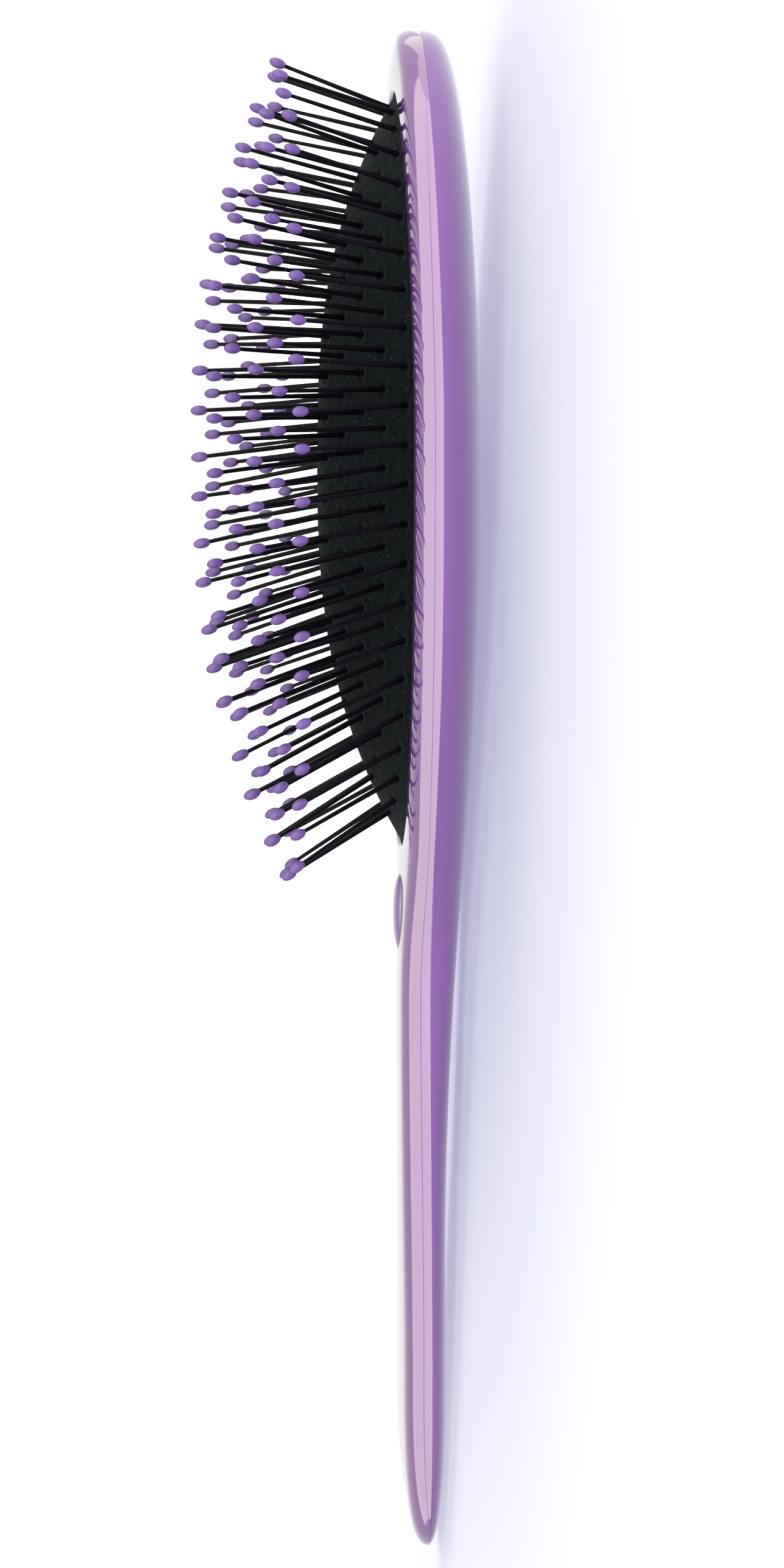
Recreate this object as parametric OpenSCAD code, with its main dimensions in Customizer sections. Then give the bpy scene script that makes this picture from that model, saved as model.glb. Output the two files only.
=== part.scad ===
// Paddle-shaped detangling brush: a hollow handle moulded in two halves, a domed
// rubber cushion clamped between them, and flexible pins with soft round tips.
// The brush lies on its back with the pins up. In the helpers below x runs from
// the handle to the head, y is sideways and z = 0 is the parting line of the halves.

/* [Handle] */
// Length from the end of the handle to the top of the head
brush_l = 225; // [205:1:245]
// Width of the head at its widest
head_w = 70; // [64:1:78]
// Length of the head from its widest place to its top
head_l = 65; // [60:1:70]
// Width of the neck
neck_w = 19; // [16:0.5:24]
// Length from the narrowest place of the neck to the opening
neck_l = 22; // [16:1:30]
// Width of the grip at its widest
grip_w = 27; // [23:0.5:32]
// Distance of the widest place of the grip from the handle's end
grip_at = 25; // [20:1:32]
// Wall of both moulded halves
wall = 2; // [1.6:0.1:2.4]

/* [Profile] */
// Height of the front half over the parting line along the grip
grip_front_h = 4.1; // [3.8:0.1:6]
// Height of the front half at the neck
neck_front_h = 4.3; // [4:0.1:5.6]
// Height of the rim round the cushion
rim_h = 3.9; // [3.5:0.1:4.6]
// Depth of the back half along the grip
grip_back_h = 2.6; // [2.5:0.1:4]
// Where the back starts to deepen towards the head, from the handle's end
sink_at = 40; // [30:1:60]
// Depth of the back half under the head
head_back_h = 7.2; // [6.8:0.1:9]
// How far the deepest place of the back lies before the widest place of the head
back_lead = 10; // [4:1:16]
// How far the top of the head lifts towards the pins
nose_lift = 1.7; // [0:0.1:2.1]
// Length of the head over which it lifts
nose_l = 60; // [40:1:64]

/* [Cushion] */
// Width of the rim beside the cushion
rim_w = 6; // [5:0.5:9]
// Width of the rim at the top of the head
rim_end_w = 9; // [8:0.5:12]
// Height of the dome over its own edge
dome_h = 12.9; // [9:0.1:15]
// Upright thickness of the rubber
cushion_t = 1.4; // [1:0.1:1.8]
// How far the dome's edge lies below the rim
cushion_drop = 0.6; // [0.3:0.1:1]
// Width of the flange that the two halves clamp
flange_w = 2.4; // [1.8:0.1:2.6]
// Thickness of the flange
flange_t = 1.3; // [1:0.1:1.6]
// How far the flange lies below the dome's edge
flange_drop = 1; // [0.6:0.1:1.3]

/* [Pins] */
// Length of a pin over the rubber, up to the middle of its tip
pin_l = 18.2; // [14:0.1:20]
// Diameter of a pin where it leaves the rubber
pin_d = 0.8; // [0.7:0.05:1]
// Diameter of a pin inside its tip
pin_end_d = 0.56; // [0.5:0.02:0.7]
// Diameter of the round tip
tip_d = 1.55; // [1.3:0.05:1.8]
// Length of the tip
tip_l = 2.6; // [2:0.1:3.2]
// Distance between two rings of pins
ring_step = 5.2; // [4.8:0.1:5.3]
// Distance between the pins of a ring
pin_pitch = 5.55; // [5.2:0.05:6.2]
// Distance of the outermost ring from the edge of the opening
ring_inset = 2.7; // [2.4:0.1:3]
// The same at both ends of the opening
ring_end_inset = 3.6; // [3.2:0.1:4.4]
// How far the field of pins is set towards the top of the head
field_shift = 1.2; // [0:0.1:1.4]
// Lean of the pins towards the handle, in degrees
rake = 8.5; // [0:0.5:14]
// How much further the pins at the ends fan out, in degrees
end_fan = 26; // [8:1:28]

/* [Hidden] */
ROWS = 5;

purple = "#9d62b4";
tip_purple = "#7d5cb0";
rubber = "#26282b";
nylon = "#1d1e20";

eps = 0.01;
// How far a cut runs past the faces that it goes through
overrun = 1;
// Clearance of pieces that are pressed or clamped together
fit = 0.05;
// Clearance of the cushion's edge in its opening
edge_gap = 0.1;
// Length over which the handle's end rounds off
end_round = 24;
// Solid length left at the end of the handle and at the top of the head
grip_solid = 9;
head_solid = 5;
// Least height that is left inside the hollow
hollow_min = 0.4;
// Thickness of the clamp wall under the flange
clamp_w = 1.7;
// Plain oval boss on the front of the neck: size, height and distance to the opening
boss_l = 12;
boss_w = 7;
boss_h = 0.9;
boss_gap = 4;
boss_sink = 0.5;
// Studs and sockets that join the halves, as shares of the handle up to the opening
stud_shares = [0.23, 0.5, 0.77, 0.92];
stud_d = 2.4;
stud_h = 1.5;
socket_d = 4.8;
// Inside ends of the pins, and the hole that lets the cushion breathe
head_d = 2.2;
head_t = 0.6;
head_gap = 0.6;
pin_fit = 0.05;
vent_d = 1.2;
// Clearance in the tip's socket, the tip's wall at its open end, and the angle below its
// middle at which the cone takes over from the ball
socket_fit = 0.02;
tip_wall = 0.12;
tip_blend = 20;
// Swing of single pins out of line, in degrees, and the stride of that swing from pin to pin
sway = 2;
sway_strides = [97, 61, 53, 83];

// Exponents of the rounded outlines: plan, opening, cross-section and long section
plan_n = 2.2;
oval_n = 2.15;
section_n = 2.4;
long_n = 3;
// Bend of the flare from the neck to the head, and of the lift of the head's top
flare_n = 1.5;
nose_n = 1.3;
// Where the parting line cuts the rounded cross-section, in degrees
crease = 6.5;
// Shape of the dome: roundness along it, and sharpness of its ridge
dome_n = 2.6;
ridge_k = 3.9;

STATIONS = 46;
SECTION = 22;
CORE_STATIONS = 20;
CORE_SECTION = 10;
OVAL = 48;
ARC_STEPS = 90;
BOSS_OVAL = 24;
BOSS_STEPS = 4;
dome_shares = [0.985, 0.94, 0.87, 0.78, 0.68, 0.57, 0.45, 0.33, 0.21, 0.1];

// Half length and half width of the opening, then places as distances from the handle's end
oval_a = head_l - rim_end_w;
oval_b = head_w / 2 - rim_w;
head_at = brush_l - head_l;
mouth_at = head_at - oval_a;
neck_at = mouth_at - neck_l;
head_back_at = head_at - back_lead;
boss_at = mouth_at - boss_gap - boss_l / 2;

opening_x = head_at - brush_l / 2;
dome_a = oval_a - edge_gap;
dome_b = oval_b - edge_gap;
dome_z = rim_h - cushion_drop;
flange_top = dome_z - flange_drop;
flange_z = flange_top - flange_t;
row_step = oval_b / (ROWS + 0.5);
rings = floor((oval_b - ring_inset) / ring_step);

// Rounded fall from 1 at share 0 to nothing at share 1
function fall(share, n) = pow(max(0, 1 - pow(min(1, max(0, share)), n)), 1 / n);
// Soft step from 0 to 1, whose start is pulled forward by a bend over 1
function soft(share, bend = 1) = (1 - cos(180 * (1 - pow(1 - min(1, max(0, share)), bend)))) / 2;
function mix(a, b, share) = a + (b - a) * share;

// Half the width of the brush at distance u from the handle's end
function half_w(u) =
    u < grip_at ? grip_w / 2 * fall((grip_at - u) / grip_at, section_n)
    : u < neck_at ? mix(grip_w, neck_w, soft((u - grip_at) / (neck_at - grip_at))) / 2
    : u < head_at ? mix(neck_w, head_w, soft((u - neck_at) / (head_at - neck_at), flare_n)) / 2
    : head_w / 2 * fall((u - head_at) / (brush_l - head_at), plan_n);

// Half the width of the opening
function half_opening(u) = oval_b * fall(abs(u - head_at) / oval_a, oval_n);

// Where the crease lies on a section of half width 1 and height 1
crease_low = pow(sin(crease), 2 / section_n);
crease_out = pow(cos(crease), 2 / section_n);
// Section height at a share of the half width, where the section starts at the crease
function section_rise(share) = (fall(share * crease_out, section_n) - crease_low) / (1 - crease_low);

// Height of the front half's crown, which would make the rim level all round the opening
function front_h(u) =
    let (top = head_at + oval_a)
    u < end_round ? grip_front_h * fall((end_round - u) / end_round, plan_n)
    : u < neck_at ? mix(grip_front_h, neck_front_h, soft((u - end_round) / (neck_at - end_round)))
    : u < mouth_at ? mix(neck_front_h, rim_h, soft((u - neck_at) / (mouth_at - neck_at)))
    : u < top ? rim_h / section_rise(half_opening(u) / half_w(u))
    : rim_h * fall((u - top) / (brush_l - top), plan_n);

// Depth of the back half
function back_h(u) =
    u < end_round ? grip_back_h * fall((end_round - u) / end_round, plan_n)
    : u < head_back_at ? mix(grip_back_h, head_back_h, soft((u - sink_at) / (head_back_at - sink_at)))
    : head_back_h * fall((u - head_back_at) / (brush_l - head_back_at), long_n);

// Lift of the parting line towards the top of the head
function nose(u) = nose_lift * pow(max(0, u - brush_l + nose_l) / nose_l, nose_n);

// Distances along the brush, crowded together at both ends
function spread(from, to, count = STATIONS) =
    [for (i = [0:count - 1]) mix(from, to, soft((i + 0.4) / (count - 0.2)))];

// One cross-section, from one side of the parting line over the crown to the other
function section(u, w, h, side, count = SECTION) = [for (i = [0:count - 1])
    let (t = mix(crease, 180 - crease, i / (count - 1)),
         top = pow(sin(mix(crease, 180 - crease, (count / 2 - 1) / (count - 1))), 2 / section_n),
         y = w * sign(cos(t)) * pow(abs(cos(t)), 2 / section_n) / crease_out,
         z = h * (pow(sin(t), 2 / section_n) - crease_low) / (top - crease_low))
    [u - brush_l / 2, y, side * z + nose(u)]];

function outer_section(u, side) = section(u, half_w(u), side > 0 ? front_h(u) : back_h(u), side);
function hollow_section(u, side) =
    section(u, half_w(u) - wall, max(hollow_min, (side > 0 ? front_h(u) : back_h(u)) - wall), side);

// Faces of a skin of sections that lie one behind the other; turned swaps inside and outside
function grid_faces(first, rows, cols, turned, closed = false) =
    [for (k = [0:rows - 2], i = [0:(closed ? cols - 1 : cols - 2)])
        let (j = (i + 1) % cols,
             a = first + k * cols + i, b = first + (k + 1) * cols + i,
             c = first + (k + 1) * cols + j, d = first + k * cols + j)
        each turned ? [[a, c, b], [a, d, c]] : [[a, b, c], [a, c, d]]];
function fan(ids, turned) =
    [for (i = [1:len(ids) - 2]) turned ? [ids[0], ids[i + 1], ids[i]] : [ids[0], ids[i], ids[i + 1]]];

// Half of the handle, hollow from the parting line
module half_skin(side) {
    n = STATIONS * SECTION;
    last = (STATIONS - 1) * SECTION;
    outer = [for (u = spread(0, brush_l)) each outer_section(u, side)];
    inner = [for (u = spread(grip_solid, brush_l - head_solid)) each hollow_section(u, side)];
    back = side < 0;
    edge = function (i) [for (k = [0:STATIONS - 1]) k * SECTION + i];
    right = edge(0);
    left = edge(SECTION - 1);
    polyhedron(points = concat(outer, inner), faces = concat(
        grid_faces(0, STATIONS, SECTION, back),
        grid_faces(n, STATIONS, SECTION, !back),
        fan([for (i = [0:SECTION - 1]) i], back),
        fan([for (i = [0:SECTION - 1]) last + i], !back),
        fan([for (i = [0:SECTION - 1]) n + i], !back),
        fan([for (i = [0:SECTION - 1]) n + last + i], back),
        [for (k = [0:STATIONS - 2])
            each fan([right[k], right[k] + n, right[k + 1] + n, right[k + 1]], back)],
        [for (k = [0:STATIONS - 2])
            each fan([left[k], left[k + 1], left[k + 1] + n, left[k] + n], back)],
        fan([left[0], left[0] + n, right[0] + n, right[0]], back),
        fan([right[0] + last, right[0] + last + n, left[0] + last + n, left[0] + last], back)));
}

// Solid up to the middle of a half's wall, open past the parting line, which trims studs and ribs
function core_section(u, side) =
    let (arc = section(u, half_w(u) - wall / 2,
            max(hollow_min, (side > 0 ? front_h(u) : back_h(u)) - wall / 2), side, CORE_SECTION),
         reach = [0, 0, side * grip_front_h], end = arc[CORE_SECTION - 1])
    concat([arc[0] - reach], arc, [end - reach]);
module half_core(side) {
    cols = CORE_SECTION + 2;
    last = (CORE_STATIONS - 1) * cols;
    back = side < 0;
    points = [for (u = spread(grip_solid / 2, brush_l - head_solid / 2, CORE_STATIONS))
        each core_section(u, side)];
    polyhedron(points = points, faces = concat(
        grid_faces(0, CORE_STATIONS, cols, back),
        fan([for (i = [0:cols - 1]) i], back),
        fan([for (i = [0:cols - 1]) last + i], !back),
        [for (k = [0:CORE_STATIONS - 2]) each fan([k * cols, k * cols + cols - 1,
            (k + 1) * cols + cols - 1, (k + 1) * cols], back)]));
}

// Oval outline that is grown or shrunk evenly
function oval(grow, count = OVAL) = [for (i = [0:count - 1])
    let (t = 360 * i / count, a = oval_a + grow, b = oval_b + grow)
    [opening_x + a * sign(cos(t)) * pow(abs(cos(t)), 2 / oval_n),
     b * sign(sin(t)) * pow(abs(sin(t)), 2 / oval_n)]];

module oval_prism(grow, low, high) {
    translate([0, 0, low]) linear_extrude(height = high - low) polygon(oval(grow));
}

// Height of the rubber dome over its edge; x is measured from the middle of the opening
function dome(x, y) =
    let (crest = dome_h * max(0, 1 - pow(min(1, abs(x) / dome_a), dome_n)),
         reach = dome_b * fall(abs(x) / dome_a, oval_n),
         share = min(1, abs(y) / max(eps, reach)))
    crest * (1 - (sqrt(pow(ridge_k * share, 2) + 1) - 1) / (sqrt(pow(ridge_k, 2) + 1) - 1));
function dome_point(x, y, sink) =
    [opening_x + x, y, dome_z + dome(x, y) - sink + nose(opening_x + x + brush_l / 2)];

// Both halves and all pins share the pose in which the brush lies on its back. It touches
// the table with the grip and with the head: the place on the grip follows from a pitch,
// and the pitch from that place
stations = spread(0, brush_l);
function under(u) = back_h(u) - nose(u);
function touch_u(pitch) =
    let (places = [for (u = stations) if (u < sink_at) u],
         depths = [for (u = places) under(u) - u * tan(pitch)])
    places[search(max(depths), depths)[0]];
function touch_pitch(from) =
    max([for (u = stations) if (u > neck_at) atan((under(u) - under(from)) / (u - from))]);
rest_pitch = touch_pitch(touch_u(touch_pitch(end_round)));
rest_lift = max([for (u = stations) under(u) * cos(rest_pitch) - (u - brush_l / 2) * sin(rest_pitch)]);
module at_rest() {
    translate([0, 0, rest_lift]) rotate([0, -rest_pitch, 0]) children();
}

module stud_place() {
    for (share = stud_shares) translate([share * mouth_at - brush_l / 2, 0, 0]) children();
}

// A pin stands at [x, y], measured from the middle of the opening; its axis is a
// direction with a height of 1
function ring_a(r) = oval_a - ring_end_inset - r * ring_step;
function ring_b(r) = oval_b - ring_inset - r * ring_step;
function ring_point(r, t) =
    [ring_a(r) * pow(sin(t), 2 / oval_n), ring_b(r) * pow(cos(t), 2 / oval_n)];

// Distances along a quarter of a ring, from its widest place to its end, with their angles
function ring_table(r) = [for (i = 0, s = 0; i <= ARC_STEPS;
    s = s + norm(ring_point(r, min(90, (i + 1) * 90 / ARC_STEPS)) - ring_point(r, i * 90 / ARC_STEPS)),
    i = i + 1) [s, i * 90 / ARC_STEPS]];

// Pins of a quarter ring: even rings have one at the widest place, odd rings stand astride it
function quarter_ring(r) =
    let (table = ring_table(r), whole = table[ARC_STEPS][0], shift = r % 2 == 0 ? 0 : 0.5,
         gaps = round(whole / pin_pitch - 0.5 + shift) + 0.5 - shift)
    [for (j = [0:ceil(gaps) - 1]) ring_point(r, lookup((j + shift) * whole / gaps, table))];

// Pins of one half of the cushion, then of the row that the row number names
half_pins = [for (r = [0:rings - 1], p = quarter_ring(r), s = [1, -1])
    if (s > 0 || p[0] > eps) [field_shift + s * p[0], p[1]]];
function row_of(y) = min(ROWS, max(1, round(y / row_step)));
function row_pins(row) = [for (p = half_pins) if (row_of(p[1]) == row) p];
centre_half = floor(ring_a(rings - 1) / pin_pitch);
centre_pins = [for (i = [-centre_half:centre_half - 1]) [field_shift + (i + 0.5) * pin_pitch, 0]];

// Slope of the dome sideways at a place, and the axis of a pin that stands there
function side_slope(x, y) = (dome(x, y - eps) - dome(x, y + eps)) / (2 * eps);
function pin_axis(x, y) =
    let (swing = [for (k = [0, 2]) sway * sin(x * sway_strides[k] + y * sway_strides[k + 1])],
         along = rake - end_fan * x / ring_a(0) + swing[0],
         across = atan(side_slope(x, y)) + (y == 0 ? 0 : swing[1]))
    [-tan(along), tan(across), 1];

// Sets a piece on the rubber at each place, standing along the pin's axis
module at_pins(places, side) {
    for (p = places)
        let (axis = pin_axis(p[0], p[1]), turn = atan2(side * axis[1], axis[0]),
             tilt = acos(1 / norm(axis)), foot = dome_point(p[0], p[1], 0))
        translate([foot[0], side * foot[1], foot[2]]) rotate([0, tilt, turn]) children();
}

module pin() {
    foot = cushion_t + head_gap + head_t;
    translate([0, 0, -foot]) cylinder(d = head_d, h = head_t, $fn = 32);
    translate([0, 0, -foot]) cylinder(d = pin_d, h = foot, $fn = 32);
    cylinder(d1 = pin_d, d2 = pin_end_d, h = pin_l, $fn = 32);
}

// Round tip with a socket for the end of the pin
module tip() {
    r = tip_d / 2;
    neck = pin_end_d / 2 + tip_wall;
    hole = pin_end_d / 2 + socket_fit;
    blend_z = -r * sin(tip_blend);
    translate([0, 0, pin_l]) rotate_extrude($fn = 32) difference() {
        union() {
            intersection() {
                circle(r = r, $fn = 32);
                translate([0, -r]) square([r, 2 * r]);
            }
            polygon([[0, r - tip_l], [neck, r - tip_l], [r * cos(tip_blend), blend_z], [0, blend_z]]);
        }
        translate([0, r - tip_l - overrun]) square([hole, tip_l - r + overrun + socket_fit]);
    }
}

module pin_hole() {
    depth = cushion_t + head_gap;
    translate([0, 0, -depth]) cylinder(d = pin_d + 2 * pin_fit, h = depth + overrun, $fn = 32);
}

// Low oval pad whose top is rounded over, standing on the crown of the neck
module boss() {
    steps = [for (i = [0:BOSS_STEPS]) 90 * i / BOSS_STEPS];
    foot = front_h(boss_at) - wall / 2;
    rings = concat([[for (p = boss_oval(1)) [p[0], p[1], foot]]],
        [for (t = steps) if (t < 90) [for (p = boss_oval(pow(cos(t), 2 / oval_n)))
            [p[0], p[1], front_h(boss_at) - boss_sink + (boss_h + boss_sink) * pow(sin(t), 2 / oval_n)]]]);
    rows = len(rings);
    polyhedron(points = [for (r = rings) each r], faces = concat(
        grid_faces(0, rows, BOSS_OVAL, false, true),
        fan([for (i = [0:BOSS_OVAL - 1]) i], false),
        fan([for (i = [0:BOSS_OVAL - 1]) (rows - 1) * BOSS_OVAL + i], true)));
}
function boss_oval(share) = [for (i = [0:BOSS_OVAL - 1])
    let (t = 360 * i / BOSS_OVAL)
    [boss_at - brush_l / 2 + share * boss_l / 2 * cos(t), share * boss_w / 2 * sin(t)]];

module front_shell() {
    color(purple) at_rest() difference() {
        union() {
            intersection() {
                half_core(1);
                stud_place() cylinder(d = socket_d, h = grip_front_h, $fn = 48);
            }
            boss();
            half_skin(1);
        }
        oval_prism(0, -overrun, rim_h + nose_lift + head_back_h);
        oval_prism(flange_w + fit, -overrun, flange_top + fit);
        stud_place() translate([0, 0, -overrun])
            cylinder(d = stud_d + 2 * fit, h = stud_h + overrun + fit, $fn = 32);
    }
}

module back_shell() {
    color(purple) at_rest() {
        half_skin(-1);
        intersection() {
            half_core(-1);
            difference() {
                oval_prism(flange_w, -head_back_h, flange_z);
                oval_prism(flange_w - clamp_w, -head_back_h - overrun, flange_z + overrun);
            }
        }
        intersection() {
            half_core(-1);
            stud_place() translate([0, 0, -head_back_h])
                cylinder(d = stud_d, h = head_back_h + stud_h, $fn = 32);
        }
    }
}

module cushion() {
    n = OVAL;
    flat = function (grow, z) [for (p = oval(grow)) [p[0], p[1], z]];
    curved = function (share, sink, grow = 0) [for (p = oval(grow - edge_gap))
        dome_point((p[0] - opening_x) * share, p[1] * share, sink)];
    tops = concat([flat(flange_w, flange_z), flat(flange_w, flange_top), flat(-edge_gap, flange_top)],
        [curved(1, 0)], [for (s = dome_shares) curved(s, 0)]);
    unders = concat([flat(-cushion_t - edge_gap, flange_z)],
        [curved(1, cushion_t, -cushion_t)], [for (s = dome_shares) curved(s, cushion_t, -cushion_t)]);
    rows = len(tops);
    under_rows = len(unders);
    points = concat([for (r = tops) each r], [for (r = unders) each r],
        [dome_point(0, 0, 0), dome_point(0, 0, cushion_t)]);
    crown = len(points) - 2;
    color(rubber) at_rest() difference() {
        polyhedron(points = points, faces = concat(
            grid_faces(0, rows, n, false, true),
            grid_faces(rows * n, under_rows, n, true, true),
            [for (i = [0:n - 1]) [crown, (rows - 1) * n + (i + 1) % n, (rows - 1) * n + i]],
            [for (i = [0:n - 1]) let (f = (rows + under_rows - 1) * n)
                [crown + 1, f + i, f + (i + 1) % n]],
            [for (i = [0:n - 1]) let (j = (i + 1) % n)
                each [[i, j, rows * n + j], [i, rows * n + j, rows * n + i]]]));
        for (side = [1, -1]) at_pins(half_pins, side) pin_hole();
        at_pins(centre_pins, 1) pin_hole();
        translate([opening_x, 0, dome_z + dome_h - cushion_t - overrun])
            cylinder(d = vent_d, h = cushion_t + 2 * overrun, $fn = 24);
    }
}

module row(row, side, colour) {
    color(colour) at_rest() at_pins(row == 0 ? centre_pins : row_pins(row), side) children();
}

front_shell();
back_shell();
cushion();
row(0, 1, nylon) pin();  // pins_centre
row(0, 1, tip_purple) tip();  // tips_centre
for (i = [1:ROWS]) {
    row(i, 1, nylon) pin();
    row(i, 1, tip_purple) tip();
    row(i, -1, nylon) pin();
    row(i, -1, tip_purple) tip();
}
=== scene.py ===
"""Looks of a paddle-shaped detangling brush: two-part handle, pitted rubber pad, nylon pins with soft tips.

The brush lies on its back, pins up. Its forms are worked out in the part's own directions and then set in the
frame, in metres: x runs along the brush from its middle, y to the left, and z up from the parting line.
"""

import bmesh
import bpy
import numpy as np
from mathutils import Matrix, Vector


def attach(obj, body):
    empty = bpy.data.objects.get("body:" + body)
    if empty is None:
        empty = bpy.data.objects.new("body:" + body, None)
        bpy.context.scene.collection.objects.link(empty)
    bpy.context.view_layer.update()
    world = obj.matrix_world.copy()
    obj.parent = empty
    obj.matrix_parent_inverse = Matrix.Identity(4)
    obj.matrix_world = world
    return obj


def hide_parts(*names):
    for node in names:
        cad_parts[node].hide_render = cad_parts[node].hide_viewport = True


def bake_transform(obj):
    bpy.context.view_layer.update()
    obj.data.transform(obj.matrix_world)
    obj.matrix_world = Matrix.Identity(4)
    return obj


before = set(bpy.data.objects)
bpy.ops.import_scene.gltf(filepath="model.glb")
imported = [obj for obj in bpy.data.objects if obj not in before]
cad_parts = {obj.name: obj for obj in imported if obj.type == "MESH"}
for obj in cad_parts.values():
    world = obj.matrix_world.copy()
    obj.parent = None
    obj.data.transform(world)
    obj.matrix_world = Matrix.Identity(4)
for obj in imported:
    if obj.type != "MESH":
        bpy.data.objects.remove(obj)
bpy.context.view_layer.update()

# Driving sizes of the brush, in metres, the same as the part's
brush_l = 0.225
head_w = 0.070
head_l = 0.065
neck_w = 0.019
neck_l = 0.022
grip_w = 0.027
grip_at = 0.025
wall = 0.002
grip_front_h = 0.0041
neck_front_h = 0.0043
rim_h = 0.0039
grip_back_h = 0.0026
sink_at = 0.040
head_back_h = 0.0072
back_lead = 0.010
nose_lift = 0.0017
nose_l = 0.060
rim_w = 0.006
rim_end_w = 0.009
dome_h = 0.0129
cushion_t = 0.0014
cushion_drop = 0.0006
flange_w = 0.0024
flange_t = 0.0013
flange_drop = 0.001
end_round = 0.024
edge_gap = 0.0001
hollow_min = 0.0004
boss_l = 0.012
boss_w = 0.007
boss_h = 0.0009
boss_gap = 0.004
boss_sink = 0.0005
pin_l = 0.0182
pin_d = 0.0008
pin_end_d = 0.00056
tip_d = 0.00155
tip_l = 0.0026
tip_wall = 0.00012
socket_fit = 0.00002
ring_step = 0.0052
pin_pitch = 0.00555
ring_inset = 0.0027
ring_end_inset = 0.0036
field_shift = 0.0012
head_d = 0.0022
head_t = 0.0006
head_gap = 0.0006
ROWS = 5

# Angles in degrees, and the swing of single pins in degrees per metre
rake = 8.5
end_fan = 26
sway = 2
sway_strides = (97e3, 61e3, 53e3, 83e3)
crease = 6.5

# Exponents of the rounded outlines and the bends of the long curves
plan_n = 2.2
oval_n = 2.15
section_n = 2.4
long_n = 3.8
top_n = 3.4
roll_n = 2.6
flare_n = 1.5
nose_n = 1.3
dome_n = 2.6
ridge_k = 3.9

# Small roundings that only the looks have
lip_r = 0.00045
roll_w = 0.0045
crown_share = 0.2
groove = 0.00005
tiny = 1e-5

# Places where the insides of the halves begin and end, and where their meshes grow finer
inner_start = 0.006
grip_end = 0.030
front_inner_end = 0.0045
back_inner_end = 0.025
mouth_lead = 0.004
top_lead = 0.006

# Counts of steps in the meshes
SKIN_ROWS = 30
HOLLOW_ROWS = 9
GRIP_STEPS = 30
HANDLE_STEPS = 90
OVAL_STEPS = 230
TOP_STEPS = 12
LIP_STEPS = 5
FINE_STEPS = 4000
OUTLINE_STEPS = 6000

# Angles in degrees from which an edge of a mesh stays sharp
SHELL_EDGE = 38
PIN_EDGE = 50

oval_a = head_l - rim_end_w
oval_b = head_w / 2 - rim_w
dome_a = oval_a - edge_gap
dome_b = oval_b - edge_gap
head_at = brush_l - head_l
mouth_at = head_at - oval_a
top_at = head_at + oval_a
neck_at = mouth_at - neck_l
head_back_at = head_at - back_lead
boss_at = mouth_at - boss_gap - boss_l / 2
opening_x = head_at - brush_l / 2
dome_z = rim_h - cushion_drop
flange_top = dome_z - flange_drop
flange_z = flange_top - flange_t
row_step = oval_b / (ROWS + 0.5)
rings = int((oval_b - ring_inset) / ring_step)


def fall(share, n):
    """Rounded fall from 1 at share 0 to nothing at share 1."""
    return (1 - np.clip(share, 0, 1) ** n) ** (1 / n)


def soft(share, bend=1):
    """Soft step from 0 to 1, whose start is pulled forward by a bend over 1."""
    return (1 - np.cos(np.pi * (1 - (1 - np.clip(share, 0, 1)) ** bend))) / 2


def mix(a, b, share):
    """Value at this share of the way from a to b."""
    return a + (b - a) * share


def half_w(u):
    """Half the width of the brush at distance u from the handle's end."""
    grip = grip_w / 2 * fall((grip_at - u) / grip_at, section_n)
    handle = mix(grip_w, neck_w, soft((u - grip_at) / (neck_at - grip_at))) / 2
    flare = mix(neck_w, head_w, soft((u - neck_at) / (head_at - neck_at), flare_n)) / 2
    head = head_w / 2 * fall((u - head_at) / (brush_l - head_at), plan_n)
    return np.select([u < grip_at, u < neck_at, u < head_at], [grip, handle, flare], head)


def crown(share, n):
    """Height of a rounded section, as a share, at a share of its half width; the seam is a crease."""
    low = np.sin(np.radians(crease)) ** (2 / n)
    out = np.cos(np.radians(crease)) ** (2 / n)
    return (fall(share * out, n) - low) / (1 - low)


def back_rise(y, w):
    """Depth of the back half's section, as a share, at a place across a half width."""
    return crown(abs(y) / np.maximum(w, tiny), section_n)


def front_rise(y, w):
    """Height of the front half's section, as a share: it rolls over near the edge and is flatter inside."""
    inset = np.maximum(0, w - abs(y)) / np.maximum(tiny, np.minimum(roll_w, w))
    return mix(crown(1 - np.minimum(1, inset), roll_n), back_rise(y, w), crown_share)


def front_h(u):
    """Height of the front half's crown, chosen so that the rim is level round the opening."""
    grip = grip_front_h * fall((end_round - u) / end_round, plan_n)
    handle = mix(grip_front_h, neck_front_h, soft((u - end_round) / (neck_at - end_round)))
    flare = mix(neck_front_h, rim_h, soft((u - neck_at) / (mouth_at - neck_at)))
    opening = oval_b * fall(abs(u - head_at) / oval_a, oval_n)
    rim = rim_h / front_rise(opening, half_w(u))
    top = rim_h * fall((u - top_at) / (brush_l - top_at), top_n)
    stretches = [u < end_round, u < neck_at, u < mouth_at, u < top_at]
    return np.select(stretches, [grip, handle, flare, rim], top)


def back_h(u):
    """Depth of the back half."""
    grip = grip_back_h * fall((end_round - u) / end_round, plan_n)
    sink = mix(grip_back_h, head_back_h, soft((u - sink_at) / (head_back_at - sink_at)))
    head = head_back_h * fall((u - head_back_at) / (brush_l - head_back_at), long_n)
    return np.select([u < end_round, u < head_back_at], [grip, sink], head)


def nose(u):
    """Lift of the parting line towards the top of the head."""
    return nose_lift * (np.maximum(0, u - brush_l + nose_l) / nose_l) ** nose_n


def dome(x, y):
    """Height of the rubber dome over its edge; x is measured from the middle of the opening."""
    crest = dome_h * np.maximum(0, 1 - np.minimum(1, abs(x) / dome_a) ** dome_n)
    reach = dome_b * fall(abs(x) / dome_a, oval_n)
    share = np.minimum(1, abs(y) / np.maximum(tiny, reach))
    return crest * (1 - (np.sqrt((ridge_k * share) ** 2 + 1) - 1) / (np.sqrt(ridge_k ** 2 + 1) - 1))


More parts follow.
